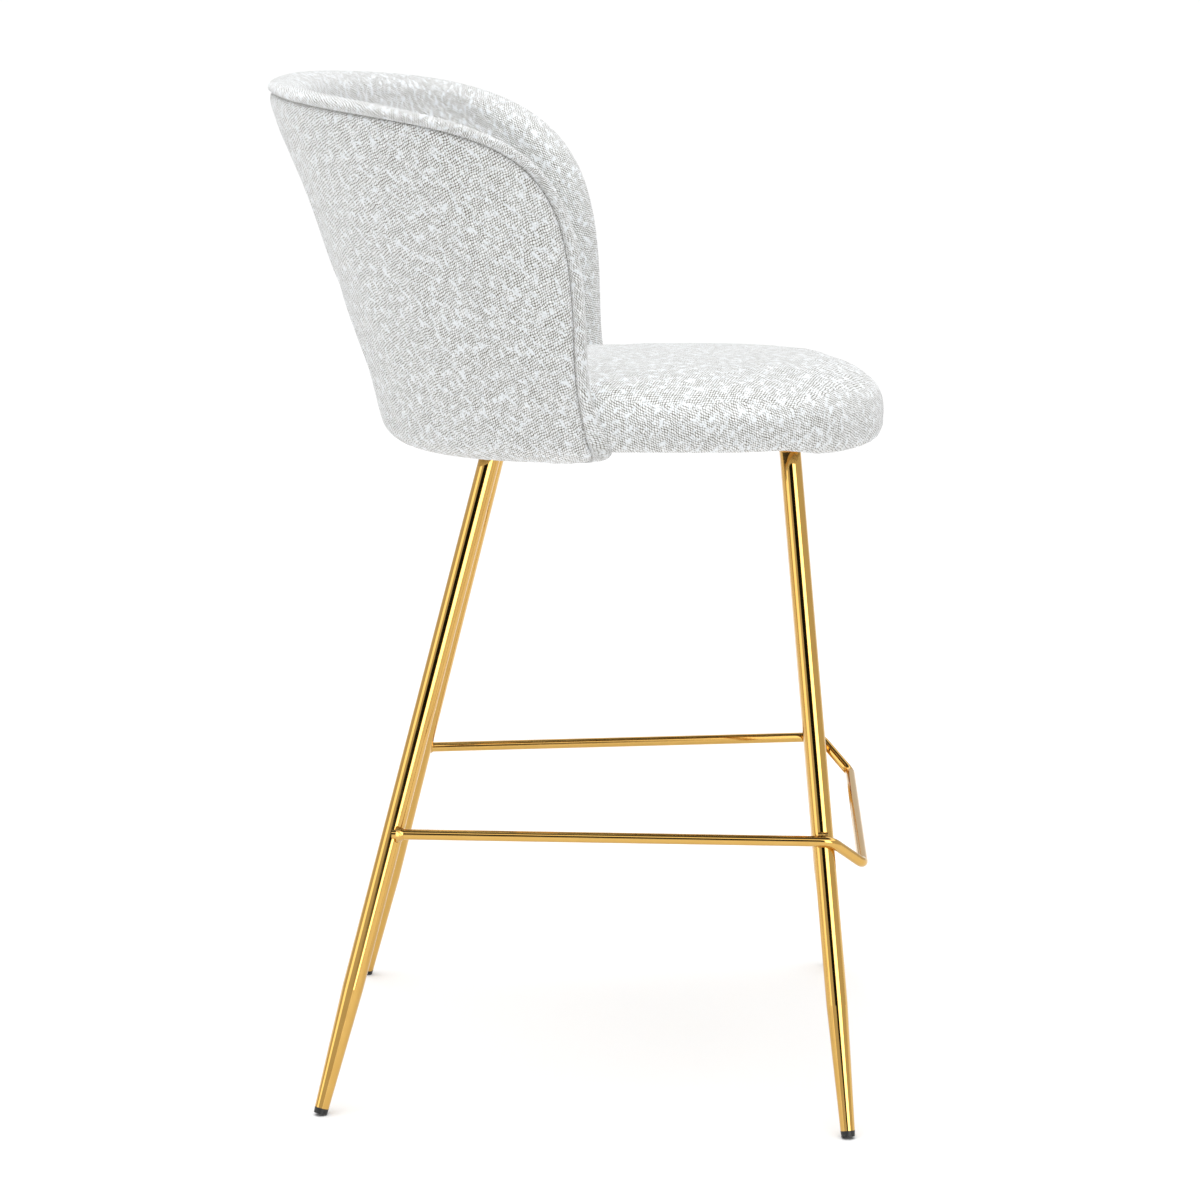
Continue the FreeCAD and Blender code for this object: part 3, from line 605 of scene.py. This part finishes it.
# The roll over the rim: an outer bead of two quarter ellipses, then a long one to the inside.
roll = []
for step in range(1, 6):
    turn = step / 5 * math.pi / 2
    roll.append((-2.2 + 5.0 * math.sin(turn), SEAM_DROP - 0.4 - 4.6 * (1 - math.cos(turn))))
for step in range(1, 7):
    turn = step / 6 * math.pi / 2
    roll.append((2.8 - 9.3 * (1 - math.cos(turn)), 6.0 - 6.3 * math.sin(turn)))
for step in range(1, 9):
    turn = step / 8 * math.pi / 2
    roll.append((-6.5 - 26.1 * math.sin(turn), -0.3 + 20.3 * (1 - math.cos(turn))))
CREST, LINING_STARTS = 10, 16
walked = [0.0]
for before, after in zip(roll, roll[1:]):
    walked.append(walked[-1] + math.dist(before, after))
for step, (out, distance) in enumerate(roll):
    row = edge_row(rolled * (distance + FLARED * max(0, distance) / SEAM_DROP * (step < CREST)))
    share = eased(max(0.0, (step - CREST) / (len(roll) - 1 - CREST)))
    near_seam = max(0.0, 1 - step / 5)
    bottom = (step + 1) / len(roll)
    mix = (rolled * share + (1 - rolled) * bottom)[:, None]
    outer = outer_face(row[0], row[1], rolled * (out + pucker * 0.1 * near_seam))
    inner = inner_face(row[0], row[1], rolled * (out + WALL))
    laid = edge_row(INNER_EDGE - (walked[-1] - walked[step]))
    add_ring(outer * (1 - mix) + inner * mix, np.stack(laid, -1),
             1.0 if step < LINING_STARTS else 0.8)
lining_places[seam_ring] = np.stack(edge_row(INNER_EDGE - walked[-1] - 1.5), -1)
for distance in (24.0, 29.0, 35.0):
    row = edge_row(distance * rolled + (1 - rolled) * (distance - 20) * 0.8)
    row = evened(row, round(MOST_EVENED * (distance - 20) / 15))
    add_ring(inner_face(row[0], row[1], np.zeros(COLUMNS)), np.stack(row, -1),
             (35 - distance) / 14)
for row in spoke_rows(rolled * 35 + (1 - rolled) * 12):
    add_ring(inner_face(row[0], row[1], np.zeros(len(row[0]))), np.stack(row, -1), 0.0)


def band(first, second):
    """Faces between two rings with as many points, half as many, or one, as (ring, point)."""
    if second > first:
        return [[(1 - ring, point) for ring, point in face[::-1]]
                for face in band(second, first)]
    if second == 1:
        return [[(0, i), (0, (i + 1) % first), (1, 0)] for i in range(first)]
    if first == second:
        return [[(0, i), (0, (i + 1) % first), (1, (i + 1) % first), (1, i)]
                for i in range(first)]
    faces = []
    for i in range(second):
        far, ahead = (i + 1) % second, (2 * i + 2) % first
        faces += [[(0, 2 * i), (0, 2 * i + 1), (1, i)], [(0, 2 * i + 1), (1, far), (1, i)],
                  [(0, 2 * i + 1), (0, ahead), (1, far)]]
    return faces


starts = np.concatenate([[0], np.cumsum([len(r) for r in rings])])
tub_faces, tub_places = [], []
for i in range(len(rings) - 1):
    first_places = panel_places[i] if i < seam_ring else lining_places[i]
    pair = (first_places, panel_places[i + 1] if i < seam_ring else lining_places[i + 1])
    for face in band(len(rings[i]), len(rings[i + 1])):
        tub_faces.append([int(starts[i + ring] + point) for ring, point in face])
        tub_places += [pair[ring][point] for ring, point in face]
tub_mesh = bpy.data.meshes.new("tub_cover")
tub_cover = place_object("tub_cover", tub_mesh)
tub_mesh.from_pydata((np.concatenate(rings) / 1000).tolist(), [], tub_faces)
swell(tub_cover, np.concatenate(holds), pressure=2.0, most=0.002)
lay_cloth(tub_cover, np.array(tub_places) / 1000)
# The rings run from the outside to the inside, which leaves the faces pointing in.
tub_mesh.flip_normals()
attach(tub_cover, "root")
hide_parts("back_cover_outer", "back_cover_inner", "back_rim_roll", "back_wadding",
            "back_foam")

# ---------------------------------------------------------------- seam stitches
# White polyester thread closes the seam with a short stitch every 4.5 mm. A Geometry Nodes tree
# lays bent lengths of thread or wire along a path, and the staples further on use it too.

along_path = bpy.data.node_groups.new("lengths_along_path", "GeometryNodeTree")
tree = along_path
tree.interface.new_socket("Path", in_out="INPUT", socket_type="NodeSocketGeometry")
for label in ("Spacing", "Length", "Radius", "Arch", "Turn"):
    tree.interface.new_socket(label, in_out="INPUT", socket_type="NodeSocketFloat")
tree.interface.new_socket("Seed", in_out="INPUT", socket_type="NodeSocketInt")
tree.interface.new_socket("Material", in_out="INPUT", socket_type="NodeSocketMaterial")
tree.interface.new_socket("Lengths", in_out="OUTPUT", socket_type="NodeSocketGeometry")
given = add(tree, "NodeGroupInput").outputs
curve = add(tree, "GeometryNodeMeshToCurve", {"Mesh": given["Path"]})
spots = add(tree, "GeometryNodeResampleCurve", {
    "Curve": curve.outputs[0], "Length": given["Spacing"]}, mode="LENGTH")
half = add(tree, "ShaderNodeMath", {0: given["Length"], 1: 0.5}, operation="MULTIPLY").outputs[0]
other_half = add(tree, "ShaderNodeMath", {0: half, 1: -1.0}, operation="MULTIPLY").outputs[0]
bent = add(tree, "GeometryNodeCurveQuadraticBezier", {
    "Resolution": 3, "Start": add(tree, "ShaderNodeCombineXYZ", {0: other_half}).outputs[0],
    "Middle": add(tree, "ShaderNodeCombineXYZ", {2: given["Arch"]}).outputs[0],
    "End": add(tree, "ShaderNodeCombineXYZ", {0: half}).outputs[0]})
ring = add(tree, "GeometryNodeCurvePrimitiveCircle", {"Resolution": 5, "Radius": given["Radius"]})
strand = add(tree, "GeometryNodeCurveToMesh", {
    "Curve": bent.outputs[0], "Profile Curve": ring.outputs[0], "Fill Caps": True})
facing = add(tree, "GeometryNodeInputNamedAttribute", {"Name": "facing"}, data_type="FLOAT_VECTOR")
free = add(tree, "GeometryNodeInputNamedAttribute", {"Name": "free"}, data_type="FLOAT")
open_spot = add(tree, "ShaderNodeMath", {0: free.outputs[0], 1: 0.5}, operation="GREATER_THAN")
aimed = add(tree, "FunctionNodeAlignRotationToVector", {
    "Vector": add(tree, "GeometryNodeInputTangent").outputs[0]}, axis="X")
aimed = add(tree, "FunctionNodeAlignRotationToVector", {
    "Rotation": aimed.outputs[0], "Vector": facing.outputs[0]}, axis="Z", pivot_axis="X")
least = add(tree, "ShaderNodeMath", {0: given["Turn"], 1: -1.0}, operation="MULTIPLY")
swing = add(tree, "FunctionNodeRandomValue", {
    2: least.outputs[0], 3: given["Turn"], "Seed": given["Seed"]}, data_type="FLOAT")
swung = add(tree, "FunctionNodeEulerToRotation", {
    0: add(tree, "ShaderNodeCombineXYZ", {2: swing.outputs[1]}).outputs[0]})
aimed = add(tree, "FunctionNodeRotateRotation", {
    "Rotation": aimed.outputs[0], "Rotate By": swung.outputs[0]}, rotation_space="LOCAL")
laid = add(tree, "GeometryNodeInstanceOnPoints", {
    "Points": spots.outputs[0], "Selection": open_spot.outputs[0], "Instance": strand.outputs[0],
    "Rotation": aimed.outputs[0]})
real = add(tree, "GeometryNodeRealizeInstances", {0: laid.outputs[0]})
dressed = add(tree, "GeometryNodeSetMaterial", {
    "Geometry": real.outputs[0], "Material": given["Material"]})
add(tree, "NodeGroupOutput", {"Lengths": dressed.outputs[0]})


def lay_lengths(name, path, facing, free, sizes):
    """A plain mesh of bent lengths along a closed path. facing is the way each point of the path
    looks out, free is 1 where a length may lie, and sizes are the tree's inputs by name."""
    count = len(path)
    mesh = bpy.data.meshes.new(name)
    mesh.from_pydata(path.tolist(), [(i, (i + 1) % count) for i in range(count)], [])
    way = mesh.attributes.new("facing", "FLOAT_VECTOR", "POINT")
    way.data.foreach_set("vector", np.asarray(facing, dtype=float).ravel())
    mesh.attributes.new("free", "FLOAT", "POINT").data.foreach_set("value", free)
    piece = place_object(name, mesh)
    layer = piece.modifiers.new("lengths", "NODES")
    layer.node_group = along_path
    for item in along_path.interface.items_tree:
        if item.name in sizes:
            layer[item.identifier] = sizes[item.name]
    apply_modifiers(piece)
    piece.data.polygons.foreach_set("use_smooth", [True] * len(piece.data.polygons))
    return piece


white_thread, tree = new_material("white_polyester_thread")
place = add(tree, "ShaderNodeTexCoord").outputs["Object"]
# The thread's plies are drawn 0.5 mm apart.
plies = add(tree, "ShaderNodeTexWave", {"Vector": place, "Scale": 310.0, "Distortion": 1.5})
tone = tint(tree, plies.outputs[1], "#C9C7C1", "#EFEEEA")
relief = bumps(tree, plies.outputs[1], 0.4, 0.0002)
finish_surface(tree, {"Base Color": tone, "Roughness": 0.7, "Normal": relief})

# The stitches lie 2 mm below the outer cover, in the seam's groove, and stop above the foot.
STITCH_DEPTH, LAST_STITCH = 2.0, 575.0
seam_at = edge_row(rolled * (SEAM_DROP + FLARED))
groove = outer_face(seam_at[0], seam_at[1], rolled * 0 - STITCH_DEPTH)
outward = outer_face(seam_at[0], seam_at[1], rolled * 0 + 1.0) - groove
outward /= np.linalg.norm(outward, axis=1, keepdims=True)
is_sewn = (edge_level > LAST_STITCH).astype(float)
stitches = lay_lengths("seam_stitches", groove / 1000, outward, is_sewn, {
    "Spacing": 0.0045, "Length": 0.0030, "Radius": 0.0003, "Arch": 0.0008, "Turn": 0.25,
    "Seed": 4, "Material": white_thread})
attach(stitches, "root")

# ---------------------------------------------------------------- dust cloth and staples
# A black non-woven polypropylene cloth stapled under the board to close the underside. It is
# pressed fibre, point-bonded in a fine grid, so it is matte with small shiny dots.

dust_black, tree = new_material("black_nonwoven_cloth")
place = add(tree, "ShaderNodeTexCoord").outputs["Object"]
fibres = add(tree, "ShaderNodeTexNoise", {"Vector": place, "Scale": 900.0, "Detail": 4.0})
# Bond points are 1.6 mm apart.
bonds = add(tree, "ShaderNodeTexVoronoi", {"Vector": place, "Scale": 625.0, "Randomness": 0.0})
shine = add(tree, "ShaderNodeMapRange", {
    "Value": bonds.outputs[0], "From Min": 0.2, "From Max": 0.35, "To Min": 0.5, "To Max": 0.9})
tone = tint(tree, fibres.outputs[0], "#0E0E10", "#2A2A2C")
relief = bumps(tree, fibres.outputs[0], 0.4, 0.0002)
finish_surface(tree, {
    "Base Color": tone, "Roughness": shine.outputs[0], "Normal": relief})

# The cloth is two half circles, round DUST_FRONT and DUST_REAR, joined by straight sides. Metres.
DUST_ROUND, DUST_FRONT, DUST_REAR = 0.132, -0.1188, 0.008
DUST_TOP, DUST_THICK, EDGE_SAG = 0.5920, 0.0005, 0.0009
BAR_MIDDLES, BAR_CLEARANCE, BAR_EASE = (-0.1935, 0.0738), 0.022, 0.010
STAPLE_INSET, STAPLE_GAP, STAPLE_LIFT = 0.010, 0.028, 0.0002


def stadium(radius, count):
    """Points evenly spaced round two half circles joined by straight sides, from the front."""
    turn = np.linspace(0, 2 * math.pi, 721)
    x = radius * np.sin(turn)
    y = np.where(np.cos(turn) > 0, DUST_FRONT, DUST_REAR) - radius * np.cos(turn)
    run = np.concatenate([[0], np.cumsum(np.hypot(np.diff(x), np.diff(y)))])
    even = np.arange(count) / count * run[-1]
    return np.stack([np.interp(even, run, x), np.interp(even, run, y)], axis=1)


def clear_of_bars(y):
    """1 where the cloth hangs free, falling to 0 where a steel bar presses it to the board."""
    nearest = np.minimum(np.abs(y - BAR_MIDDLES[0]), np.abs(y - BAR_MIDDLES[1]))
    return np.clip((nearest - BAR_CLEARANCE) / BAR_EASE, 0, 1)


OUTLINE_POINTS, RINGS, INNERMOST = 240, 14, 0.12
outline = stadium(DUST_ROUND, OUTLINE_POINTS)
spine = np.stack([outline[:, 0] * 0, np.clip(outline[:, 1], DUST_FRONT, DUST_REAR)], axis=1)
staple_turns = round((2 * math.pi * DUST_ROUND + 2 * (DUST_REAR - DUST_FRONT)) / STAPLE_GAP)
wave = 0.5 - 0.5 * np.cos(np.arange(OUTLINE_POINTS) / OUTLINE_POINTS * staple_turns * 2 * math.pi)
dust_points = []
for step in range(RINGS + 1):
    share = INNERMOST + (1 - INNERMOST) * step / RINGS
    flat = spine + (outline - spine) * share
    # It sags a little at its edge between the staples.
    sag = EDGE_SAG * share ** 6 * wave * clear_of_bars(flat[:, 1])
    dust_points.append(np.column_stack([flat, DUST_TOP - sag]))
dust_faces = [list(range(OUTLINE_POINTS))]
for step in range(RINGS):
    low = step * OUTLINE_POINTS
    high = low + OUTLINE_POINTS
    for i in range(OUTLINE_POINTS):
        after = (i + 1) % OUTLINE_POINTS
        dust_faces.append([low + i, high + i, high + after, low + after])
# The points go round anticlockwise seen from above, so the faces are turned to look down.
dust_faces = [face[::-1] for face in dust_faces]
dust_mesh = bpy.data.meshes.new("dust_cloth")
dust_cloth = place_object("dust_cloth", dust_mesh)
dust_mesh.from_pydata(np.concatenate(dust_points).tolist(), [], dust_faces)
dust_mesh.materials.append(dust_black)
thickness = dust_cloth.modifiers.new("thickness", "SOLIDIFY")
thickness.thickness = DUST_THICK
thickness.offset = 1.0
apply_modifiers(dust_cloth)

staple_path = stadium(DUST_ROUND - STAPLE_INSET, OUTLINE_POINTS)
staple_height = np.full(OUTLINE_POINTS, DUST_TOP - DUST_THICK - STAPLE_LIFT)
staple_points = np.column_stack([staple_path, staple_height])
downward = np.tile([0.0, 0.0, -1.0], (OUTLINE_POINTS, 1))
is_open = clear_of_bars(staple_path[:, 1])
staples = lay_lengths("dust_cloth_staples", staple_points, downward, is_open, {
    "Spacing": STAPLE_GAP, "Length": 0.010, "Radius": 0.0005, "Arch": 0.0003, "Turn": 0.15,
    "Seed": 11, "Material": zinc_plate})
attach(staples, "root")
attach(dust_cloth, "root")
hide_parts("dust_cover")

# ---------------------------------------------------------------- studio
# A pale matte floor that runs out of sight, a wide soft light overhead, and a pale room. What the
# polished metal mirrors is a set of its own, with a dark card that draws a line down the tubes.

pale_floor, tree = new_material("pale_matte_paper")
place = add(tree, "ShaderNodeTexCoord").outputs["Object"]
fibres = add(tree, "ShaderNodeTexNoise", {"Vector": place, "Scale": 300.0})
tone = tint(tree, fibres.outputs[0], "#FAFAFA", "#FCFCFC")
finish_surface(tree, {"Base Color": tone, "Roughness": 0.9})
FLOOR_REACH = 40.0
floor_mesh = bpy.data.meshes.new("studio_floor")
floor_corners = [(x * FLOOR_REACH, y * FLOOR_REACH, 0)
                 for x, y in ((-1, -1), (1, -1), (1, 1), (-1, 1))]
floor_mesh.from_pydata(floor_corners, [], [(0, 1, 2, 3)])
floor_mesh.materials.append(pale_floor)
floor = place_object("studio_floor", floor_mesh)

world = bpy.data.worlds.new("studio_room")
bpy.context.scene.world = world
world.use_nodes = True
tree = world.node_tree
tree.nodes.clear()
way = add(tree, "ShaderNodeSeparateXYZ", {
    "Vector": add(tree, "ShaderNodeTexCoord").outputs["Generated"]})
west = add(tree, "ShaderNodeMath", {0: way.outputs[0], 1: -1.0}, operation="MULTIPLY").outputs[0]
south = add(tree, "ShaderNodeMath", {0: way.outputs[1], 1: -1.0}, operation="MULTIPLY").outputs[0]
bearing = add(tree, "ShaderNodeMath", {0: south, 1: west}, operation="ARCTAN2").outputs[0]


def patch(value, centre, half_width, soft):
    """1 inside a band of a value and 0 outside it, with soft edges."""
    away = add(tree, "ShaderNodeMath", {0: value, 1: centre}, operation="SUBTRACT")
    away = add(tree, "ShaderNodeMath", {0: away.outputs[0]}, operation="ABSOLUTE")
    return add(tree, "ShaderNodeMapRange", {
        "Value": away.outputs[0], "From Min": half_width - soft, "From Max": half_width + soft,
        "To Min": 1.0, "To Max": 0.0}, interpolation_type="SMOOTHSTEP").outputs[0]


def scaled_sum(value, factor, base):
    """value times factor, plus base."""
    return add(tree, "ShaderNodeMath", {0: value, 1: factor, 2: base},
               operation="MULTIPLY_ADD").outputs[0]


def product(first, second):
    """Two values multiplied."""
    return add(tree, "ShaderNodeMath", {0: first, 1: second}, operation="MULTIPLY").outputs[0]


def lamp_at(turn, half_width):
    """A tall lamp with soft edges at a bearing, in degrees."""
    return product(patch(bearing, math.radians(turn), math.radians(half_width), math.radians(5)),
                   patch(way.outputs[2], 0.25, 0.35, 0.1))


# The room that lights the stool is brighter overhead than at its sides.
room = add(tree, "ShaderNodeMapRange", {
    "Value": way.outputs[2], "From Min": 0.35, "From Max": 0.95, "To Min": 0.56, "To Max": 1.5})
# What the polished metal mirrors: a pale wall with a bright band above it and a dark ceiling, a
# dark card in front of the legs, a bright lamp to its right, and a weaker one to its left.
mirrored = scaled_sum(patch(way.outputs[2], 0.69, 0.10, 0.03), 1.1, 0.74)
slant = scaled_sum(bearing, 0.27, way.outputs[2])
card = product(patch(bearing, math.radians(-12), math.radians(20), math.radians(3)),
               patch(slant, 0.35, 0.225, 0.02))
ceiling = patch(way.outputs[2], 1.0, 0.16, 0.03)
lamp, side_lamp = lamp_at(28, 16), lamp_at(-68, 14)
mirrored = product(mirrored, scaled_sum(card, -0.985, 1.0))
mirrored = product(mirrored, scaled_sum(ceiling, -0.85, 1.0))
mirrored = scaled_sum(lamp, 4.0, mirrored)
mirrored = scaled_sum(side_lamp, 1.3, mirrored)
path_kind = add(tree, "ShaderNodeLightPath").outputs
lit = add(tree, "ShaderNodeMix", {
    0: path_kind["Is Glossy Ray"], 2: room.outputs[0], 3: mirrored}).outputs[0]
strength = add(tree, "ShaderNodeMix", {0: path_kind["Is Camera Ray"], 2: lit, 3: 1.0})
backdrop = add(tree, "ShaderNodeBackground", {
    "Color": (1.0, 1.0, 1.0, 1.0), "Strength": strength.outputs[0]})
add(tree, "ShaderNodeOutputWorld", {"Surface": backdrop.outputs[0]})


# One square softbox, slightly blue, 2.4 m wide, aimed at the seat. Metal mirrors the set instead.
SOFTBOX_PLACE, SOFTBOX_AIM = Vector((-0.4, 0.3, 3.0)), Vector((0, 0, 0.6))
SOFTBOX_WIDTH, SOFTBOX_WATTS = 2.4, 34.0
light = bpy.data.lights.new("overhead_softbox", "AREA")
light.shape, light.energy = "RECTANGLE", SOFTBOX_WATTS
light.size = light.size_y = SOFTBOX_WIDTH
light.color = (0.94, 0.97, 1.0)
softbox = place_object("overhead_softbox", light)
softbox.location = SOFTBOX_PLACE
softbox.visible_glossy = False
softbox.rotation_euler = (SOFTBOX_AIM - SOFTBOX_PLACE).to_track_quat("-Z", "Y").to_euler()

# The camera looks down and a little to one side, by these angles in radians.
CAMERA_PLACE = (-3.3250, -0.1305, 1.0933)
CAMERA_DOWN, CAMERA_YAW = 0.1967, -0.0332
LENS_MM, SENSOR_MM = 109.38, 36.0
lens = bpy.data.cameras.new("camera")
lens.lens, lens.sensor_width = LENS_MM, SENSOR_MM
camera = place_object("camera", lens)
camera.location = CAMERA_PLACE
look = Vector((math.cos(CAMERA_DOWN) * math.cos(CAMERA_YAW),
               -math.cos(CAMERA_DOWN) * math.sin(CAMERA_YAW), -math.sin(CAMERA_DOWN)))
camera.rotation_euler = look.to_track_quat("-Z", "Y").to_euler()
bpy.context.scene.camera = camera
bpy.context.scene.view_settings.view_transform = "Standard"
